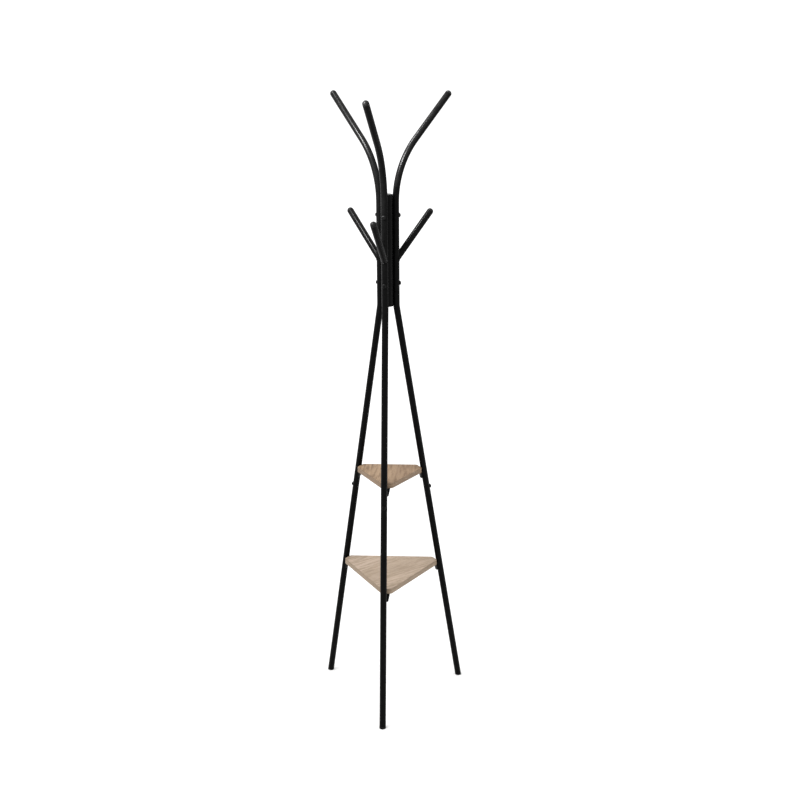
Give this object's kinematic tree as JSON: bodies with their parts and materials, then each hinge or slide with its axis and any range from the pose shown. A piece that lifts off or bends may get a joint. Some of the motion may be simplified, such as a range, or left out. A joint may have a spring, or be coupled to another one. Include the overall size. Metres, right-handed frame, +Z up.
{
  "type": "hall tree with hooks",
  "caption": "Three-legged tubular coat stand with upswept upper hooks, short lower pegs and triangular wooden shelves bracketed between the splayed legs.",
  "frame": {"origin": "on the floor, under the middle of the bounding box; the post's axis stands 49 mm behind it, at +Y", "axes": "+Z up along the post; the front leg points to -Y, the rear legs to the left and right behind"},
  "size_m": [0.4234, 0.3886, 1.8],
  "materials": {
    "powder_coat": "satin black powder coat on steel tube",
    "bracket_black": "satin black powder coat on bent steel strip",
    "black_plastic": "moulded black plastic with a soft sheen",
    "black_fastener": "black oxide screws and bolts",
    "zinc_steel": "zinc-plated steel",
    "upper_oak": "tan oak-grain board with a matt face",
    "lower_oak": "pale oak-grain board with a matt face",
    "upper_edging": "darker brown oak-grain edging strip of the upper board",
    "lower_edging": "darker pale-brown oak-grain edging strip of the lower board"
  },
  "bodies": {
    "root": {"centre_post": "powder_coat", "foot_front": "black_plastic", "foot_left": "black_plastic", "foot_right": "black_plastic", "hook_tip_front": "black_plastic", "hook_tip_left": "black_plastic", "hook_tip_right": "black_plastic", "hook_tube_front": "powder_coat", "hook_tube_left": "powder_coat", "hook_tube_right": "powder_coat", "hub_bolt_lower_front": "black_fastener", "hub_bolt_lower_left": "black_fastener", "hub_bolt_lower_right": "black_fastener", "hub_bolt_upper_front": "black_fastener", "hub_bolt_upper_left": "black_fastener", "hub_bolt_upper_right": "black_fastener", "hub_insert_lower_front": "zinc_steel", "hub_insert_lower_left": "zinc_steel", "hub_insert_lower_right": "zinc_steel", "hub_insert_upper_front": "zinc_steel", "hub_insert_upper_left": "zinc_steel", "hub_insert_upper_right": "zinc_steel", "leg_bolt_front": "black_fastener", "leg_bolt_left": "black_fastener", "leg_bolt_right": "black_fastener", "leg_nut_front": "zinc_steel", "leg_nut_left": "zinc_steel", "leg_nut_right": "zinc_steel", "lower_bracket_front": "bracket_black", "lower_bracket_left": "bracket_black", "lower_bracket_right": "bracket_black", "lower_leg_front": "powder_coat", "lower_leg_left": "powder_coat", "lower_leg_right": "powder_coat", "lower_shelf": "lower_oak", "lower_shelf_edging": "lower_edging", "lower_shelf_screw_front": "black_fastener", "lower_shelf_screw_left": "black_fastener", "lower_shelf_screw_right": "black_fastener", "peg_front": "powder_coat", "peg_left": "powder_coat", "peg_right": "powder_coat", "peg_tip_front": "black_plastic", "peg_tip_left": "black_plastic", "peg_tip_right": "black_plastic", "post_cap_bottom": "black_plastic", "post_cap_top": "black_plastic", "upper_bracket_front": "bracket_black", "upper_bracket_left": "bracket_black", "upper_bracket_right": "bracket_black", "upper_leg_front": "powder_coat", "upper_leg_left": "powder_coat", "upper_leg_right": "powder_coat", "upper_shelf": "upper_oak", "upper_shelf_edging": "upper_edging", "upper_shelf_screw_front": "black_fastener", "upper_shelf_screw_left": "black_fastener", "upper_shelf_screw_right": "black_fastener"}
  },
  "joints": []
}
